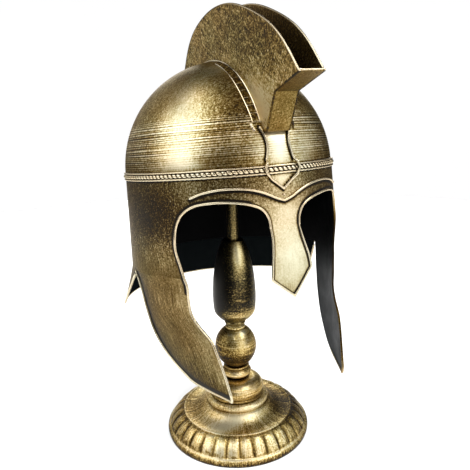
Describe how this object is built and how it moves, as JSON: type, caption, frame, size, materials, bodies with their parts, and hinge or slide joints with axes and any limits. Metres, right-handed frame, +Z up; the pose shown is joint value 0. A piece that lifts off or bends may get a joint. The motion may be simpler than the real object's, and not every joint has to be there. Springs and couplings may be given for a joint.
{
  "type": "roman helmet on display stand",
  "caption": "Round-domed metal helmet with open hooked crest, nasal, cheek guards and flared neck guard, held up by the post of a turned display stand.",
  "frame": {"origin": "middle of the stand's foot, on the surface it stands on", "axes": "+Z up, -Y the way the face looks, +X to the viewer's right from in front"},
  "size_m": [0.2376, 0.304, 0.4743],
  "materials": {
    "dome_brass": "aged, mottled and spun",
    "face_brass": "aged and brushed",
    "crest_brass": "dark aged",
    "trim_brass": "rubbed bright",
    "stand_brass": "polished antique"
  },
  "bodies": {
    "root": {"dome": "dome_brass", "brow_wall": "face_brass", "cheek_guard_left": "face_brass", "cheek_guard_right": "face_brass", "neck_guard": "face_brass", "band_rope": "trim_brass", "band_wire_upper": "trim_brass", "band_wire_lower": "trim_brass", "face_edge": "trim_brass", "neck_edge": "trim_brass", "brow_wire": "trim_brass", "shield_wire": "trim_brass", "brow_stud": "trim_brass", "crest_plate_left": "crest_brass", "crest_plate_right": "crest_brass", "crest_front": "crest_brass", "crest_rim": "trim_brass", "crest_strip_left": "crest_brass", "crest_strip_right": "crest_brass", "stand_base": "stand_brass", "stand_bell": "stand_brass", "stand_collar": "stand_brass", "stand_ball": "stand_brass", "stand_vase": "stand_brass", "stand_post": "stand_brass"}
  },
  "joints": []
}
